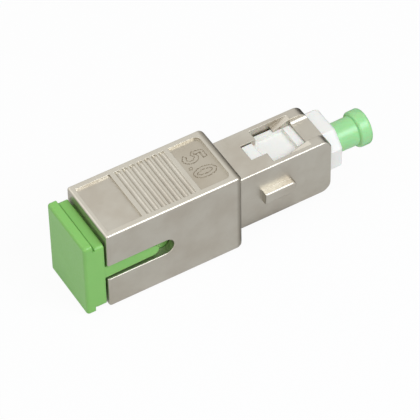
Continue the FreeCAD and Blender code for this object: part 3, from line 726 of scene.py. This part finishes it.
@dataclass
class Core:
    """The sliding plug frame with its bush and spring, and the latch and sleeve behind it."""

    moulding: MouldedPolymer = WHITE_FRAME
    sleeve: GroundCeramic = GroundCeramic()
    steel: DrawnSteel = DrawnSteel()
    wire: float = 0.35
    mean_radius: float = 1.55
    turns: float = 7.0
    dead_turns: float = 1.0
    ramp_turns: float = 0.5
    travel: float = 0.8
    points_per_turn: int = 48
    points_round_wire: int = 14

    def build(self, nodes: Mapping[str, bpy.types.Object]) -> list[bpy.types.Object]:
        """Dress the moulded and ceramic pieces and wind the spring.

        Args:
            nodes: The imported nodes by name.

        Returns:
            The new pieces.
        """
        white = self.moulding.material()
        for name in ("plug_frame", "spring_bush", "port_latch"):
            dress(nodes[name], white)
        dress(nodes["split_sleeve"], self.sleeve.material())
        return [self.spring()]

    def spring(self) -> bpy.types.Object:
        """Wind the compression spring, with a closed turn at each end ground flat.

        The wire's centre is (x(t), R cos t, R sin t) about the ferrule's axis. x grows by a wire's
        thickness a turn over the closed turns and evenly between them, with a cosine ramp from one pitch to
        the other. A circle of radius w / 2 is carried along it, on the radial direction and its cross
        product with the tangent, and x is held between the two ground faces.

        Returns:
            The piece.
        """
        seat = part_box("spring_bush")[1].x / METRES
        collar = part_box("ferrule_collar")[0].x / METRES
        axis_height = sum(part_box("ferrule")[k].z for k in (0, 1)) / 2 / METRES
        turn = np.linspace(0, self.turns, int(self.turns * self.points_per_turn))
        from_end = np.minimum(turn, self.turns - turn)
        ramp = np.clip((from_end - self.dead_turns) / self.ramp_turns, 0, 1)
        opening = (1 - np.cos(math.pi * ramp)) / 2
        length = collar - seat
        open_run = length - self.wire * self.turns
        middle_x = seat + self.wire * turn + open_run * np.cumsum(opening) / np.sum(opening)
        angle = turn * FULL_TURN
        radial = np.stack([np.zeros_like(angle), np.cos(angle), np.sin(angle)], axis=1)
        spine = np.stack([middle_x, np.zeros_like(angle), np.full_like(angle, axis_height)], axis=1)
        centre = radial * self.mean_radius + spine
        tangent = np.gradient(centre, axis=0)
        tangent /= np.linalg.norm(tangent, axis=1, keepdims=True)
        side = np.cross(tangent, radial)
        round_wire = np.arange(self.points_round_wire) * FULL_TURN / self.points_round_wire
        wire = centre[:, None] + self.wire / 2 * (np.cos(round_wire)[None, :, None] * radial[:, None]
                                                  + np.sin(round_wire)[None, :, None] * side[:, None])
        wire[..., 0] = np.clip(wire[..., 0], seat, collar)

        rows = len(turn)
        faces = grid_faces(rows, self.points_round_wire, closed=True).tolist()
        first = np.arange(self.points_round_wire)
        ends = [first.tolist(), (first[::-1] + (rows - 1) * self.points_round_wire).tolist()]
        piece = new_piece("coil_spring", wire.reshape(-1, 3), faces + ends, self.steel.material())
        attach(piece, Body.CORE.value)
        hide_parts("ferrule_spring")
        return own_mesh(piece)


@dataclass
class Ferrule:
    """The ceramic ferrule with its collar and the fibre through it."""

    ceramic: GroundCeramic = GroundCeramic()
    steel: DrawnSteel = DrawnSteel()
    glass: DopedGlass = DopedGlass()

    def build(self, nodes: Mapping[str, bpy.types.Object]) -> list[bpy.types.Object]:
        """Dress the three pieces.

        Args:
            nodes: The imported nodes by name.

        Returns:
            No new pieces.
        """
        dress(nodes["ferrule"], self.ceramic.material())
        dress(nodes["ferrule_collar"], self.steel.material())
        dress(nodes["attenuating_fibre"], self.glass.material())
        return []


@dataclass
class DustCaps:
    """The stopper in the socket and the cap on the ferrule."""

    stopper: MouldedPolymer = GREEN_STOPPER
    cap: MouldedPolymer = PALE_GREEN_CAP

    def build(self, nodes: Mapping[str, bpy.types.Object]) -> list[bpy.types.Object]:
        """Dress the two caps.

        Args:
            nodes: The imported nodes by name.

        Returns:
            No new pieces.
        """
        dress(nodes["port_dust_cap"], self.stopper.material())
        dress(nodes["ferrule_dust_cap"], self.cap.material())
        return []


@dataclass
class AreaLamp:
    """One square soft box: where it stands from the object, in millimetres, and its power in watts."""

    name: str
    direction: tuple[float, float, float]
    distance: float
    side: float
    power: float
    tint: str = "#FFFFFF"

    def build(self, target: Vector) -> None:
        """Stand the lamp and turn it to the object.

        Args:
            target: The point it faces, in metres.
        """
        data = bpy.data.lights.new(self.name, "AREA")
        data.shape = "SQUARE"
        data.size = self.side * METRES
        data.energy = self.power
        data.color = linear(self.tint)[:3]
        lamp = bpy.data.objects.new(self.name, data)
        bpy.context.scene.collection.objects.link(lamp)
        away = Vector(self.direction).normalized()
        lamp.location = target + away * self.distance * METRES
        lamp.rotation_mode = "QUATERNION"
        lamp.rotation_quaternion = (-away).to_track_quat("-Z", "Y")


@dataclass
class BlackCard:
    """A strip of black card out of the picture, seen by reflections alone: it paints dark reflections on the
    plating's rounded edges.

    It starts at a point of the floor and runs out at its turn, in degrees from +X towards +Y. Its profile
    is in steps out and up.
    """

    name: str
    near: tuple[float, float]
    turn: float
    width: float
    profile: tuple[tuple[float, float], ...]
    felt: tuple[str, str] = ("#2C2B29", "#343331")
    felt_mm: float = 1.5

    def build(self) -> bpy.types.Object:
        """Make the card: each point of the profile is carried half the width to either side.

        Returns:
            The card, seen by reflections alone.
        """
        turn = math.radians(self.turn)
        out = np.array([math.cos(turn), math.sin(turn), 0])
        across = np.array([-math.sin(turn), math.cos(turn), 0]) * self.width / 2
        steps = np.array(self.profile)
        spine = np.array([*self.near, 0]) + steps[:, :1] * out + steps[:, 1:] * np.array([0, 0, 1])
        points = (spine[:, None] + np.array([-1, 1])[None, :, None] * across).reshape(-1, 3)
        faces = grid_faces(len(steps), 2, closed=False).tolist()

        material, tree, place = new_material("black_card")
        fibres = add_node(tree, "ShaderNodeTexNoise", {"Vector": place, "Scale": per_metre(self.felt_mm)})
        grey = add_node(tree, "ShaderNodeMix", {
            "Factor": fibres.outputs["Fac"], "A": linear(self.felt[0]), "B": linear(self.felt[1])},
            data_type="RGBA")
        matt = add_node(tree, "ShaderNodeBsdfDiffuse", {"Color": grey.outputs["Result"]})
        add_node(tree, "ShaderNodeOutputMaterial", {"Surface": matt.outputs["BSDF"]})
        card = new_piece(self.name, points, faces, material, smooth=False)
        card.visible_camera = False
        card.visible_diffuse = False
        card.visible_shadow = False
        card.visible_transmission = False
        return card


@dataclass
class Studio:
    """A white sweep under soft light, black cards, and the camera at the photograph's angle.

    Angles are in degrees and lengths in millimetres. The azimuth is from -Y towards +X. The front box
    lights what a top face and the wall behind it reflect between them, and the back box what a top face and
    the flank of a groove do, so both show as light lines.
    """

    azimuth: float = -29.998
    elevation: float = 47.498
    roll: float = -1.107
    distance: float = 379.76
    focal_pixels: float = 3017.3
    sensor: float = 36.0
    target: tuple[float, float, float] = (-1.248, 0.0, 3.487)
    nearest: float = 10.0
    farthest: float = 10000.0
    floor_side: float = 3000.0
    floor_white: str = "#DEDEDE"
    floor_fibre: str = "#E1E1E1"
    floor_fibre_mm: float = 40.0
    camera_white_share: float = 0.95
    glossy_white_share: float = 0.38
    fill: str = "#FFFFFF"
    fill_strength: float = 0.38
    lamps: tuple[AreaLamp, ...] = (
        AreaLamp("overhead_box", direction=(-0.25, 0.1, 1.0), distance=420.0, side=260.0, power=0.27),
        AreaLamp("back_box", direction=(-0.34, 0.585, 0.737), distance=400.0, side=240.0, power=0.095),
        AreaLamp("front_box", direction=(0.33, -0.57, 0.75), distance=380.0, side=200.0, power=0.86,
                 tint="#EEF4FF"),
        AreaLamp("left_box", direction=(-0.85, -0.35, 0.44), distance=420.0, side=200.0, power=0.27),
    )
    cards: tuple[BlackCard, ...] = (
        # Painted reflection: a dark card behind the plug end, seen only in reflections, darkens the rounded
        # edges there.
        BlackCard("dark_reflection_card_behind_plug", near=(26.3, -6.8), turn=38.0, width=44.0,
                  profile=((0.0, 0.3), (26.0, 0.3), (26.0, 27.0))),
        # Painted shade: a dark strip on the floor beside the neck, seen only in reflections, stands in for
        # the shade there.
        BlackCard("painted_shade_strip_beside_neck", near=(5.6, -5.0), turn=90.0, width=8.6,
                  profile=((0.0, 0.2), (1.1, 0.2))),
    )

    def build(self) -> list[bpy.types.Object]:
        """Make the floor, the cards, the surroundings, the lamps and the camera.

        Returns:
            The floor and the cards.
        """
        pieces = [self.floor(), *(card.build() for card in self.cards)]
        self.surroundings()
        for lamp in self.lamps:
            lamp.build(Vector(self.target) * METRES)
        self.camera()
        bpy.context.scene.view_settings.view_transform = "Standard"
        return pieces

    def white_rays(self, tree: bpy.types.NodeTree, shares: Mapping[RayKind, float]) -> bpy.types.NodeSocket:
        """Add up how much of the plain white each kind of ray sees.

        Args:
            tree: The tree that gets the nodes.
            shares: The share of white for each kind of ray.

        Returns:
            The socket with the sum.
        """
        rays = add_node(tree, "ShaderNodeLightPath").outputs
        total: bpy.types.NodeSocket | float = 0.0
        for kind, share in shares.items():
            total = add_node(tree, "ShaderNodeMath", {0: rays[kind.value], 1: share, 2: total},
                             operation="MULTIPLY_ADD", use_clamp=True).outputs["Value"]
        return total

    def floor(self) -> bpy.types.Object:
        """Lay the white sweep, which keeps the object's soft shadow.

        Returns:
            The floor.
        """
        half = self.floor_side / 2
        corners = np.array([[-half, -half, 0], [half, -half, 0], [half, half, 0], [-half, half, 0]])
        material, tree, place = new_material("white_paper")
        fibres = add_node(tree, "ShaderNodeTexNoise", {
            "Vector": place, "Scale": per_metre(self.floor_fibre_mm)})
        paper = add_node(tree, "ShaderNodeMix", {
            "Factor": fibres.outputs["Fac"], "A": linear(self.floor_white), "B": linear(self.floor_fibre)},
            data_type="RGBA")
        matt = add_node(tree, "ShaderNodeBsdfDiffuse", {"Color": paper.outputs["Result"]})
        white = add_node(tree, "ShaderNodeEmission", {"Strength": 1.0})
        shares = {RayKind.CAMERA: self.camera_white_share, RayKind.GLOSSY: self.glossy_white_share,
                  RayKind.TRANSMISSION: self.camera_white_share}
        mixed = add_node(tree, "ShaderNodeMixShader", {
            0: self.white_rays(tree, shares), 1: matt.outputs["BSDF"], 2: white.outputs["Emission"]})
        add_node(tree, "ShaderNodeOutputMaterial", {"Surface": mixed.outputs["Shader"]})
        floor = new_piece("paper_sweep", corners, [[0, 1, 2, 3]], material, smooth=False)
        return floor

    def surroundings(self) -> None:
        """Make the world: plain white to the camera and in reflections, and a dimmer fill on the object."""
        world = bpy.data.worlds.new("white_studio")
        world.use_nodes = True
        tree = world.node_tree
        tree.nodes.clear()
        fill = add_node(tree, "ShaderNodeBackground", {
            "Color": linear(self.fill), "Strength": self.fill_strength})
        white = add_node(tree, "ShaderNodeBackground", {"Color": linear("#FFFFFF"), "Strength": 1.0})
        shares = {kind: 1.0 for kind in RayKind}
        mixed = add_node(tree, "ShaderNodeMixShader", {
            0: self.white_rays(tree, shares), 1: fill.outputs["Background"], 2: white.outputs["Background"]})
        add_node(tree, "ShaderNodeOutputWorld", {"Surface": mixed.outputs["Shader"]})
        bpy.context.scene.world = world

    def camera(self) -> None:
        """Stand the camera where the photograph's was.

        It looks at the target from the distance, along the line at the azimuth and elevation, and is then
        rolled about that line. The focal length in pixels, over the photograph's width, times the sensor
        gives the lens.
        """
        azimuth, elevation, roll = (
            math.radians(angle) for angle in (self.azimuth, self.elevation, self.roll)
        )
        back = Vector((math.sin(azimuth) * math.cos(elevation), -math.cos(azimuth) * math.cos(elevation),
                       math.sin(elevation)))
        level = Vector((0, 0, 1)).cross(back).normalized()
        upright = back.cross(level)
        right = math.cos(roll) * level + math.sin(roll) * upright
        up = math.cos(roll) * upright - math.sin(roll) * level
        data = bpy.data.cameras.new("photograph_view")
        data.sensor_width = self.sensor
        data.lens = self.focal_pixels / PHOTO_PIXELS * self.sensor
        data.clip_start = self.nearest * METRES
        data.clip_end = self.farthest * METRES
        camera = bpy.data.objects.new("photograph_view", data)
        bpy.context.scene.collection.objects.link(camera)
        place = (Vector(self.target) + back * self.distance) * METRES
        camera.matrix_world = Matrix.Translation(place) @ Matrix((right, up, back)).transposed().to_4x4()
        bpy.context.scene.camera = camera


def report(pieces: list[bpy.types.Object]) -> None:
    """Log each new piece with its number of faces."""
    for piece in pieces:
        LOG.info("built %s: %d faces", piece.name, len(piece.data.polygons))


def main() -> None:
    """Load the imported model, build each sub-assembly in order and report the pieces."""
    logging.basicConfig(level=logging.INFO, format="%(name)s: %(message)s")
    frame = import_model()
    report(Studio().build())
    for assembly in (Housing(), Core(), Ferrule(), DustCaps()):
        report(assembly.build(frame["nodes"]))


if __name__ == "__main__":
    main()
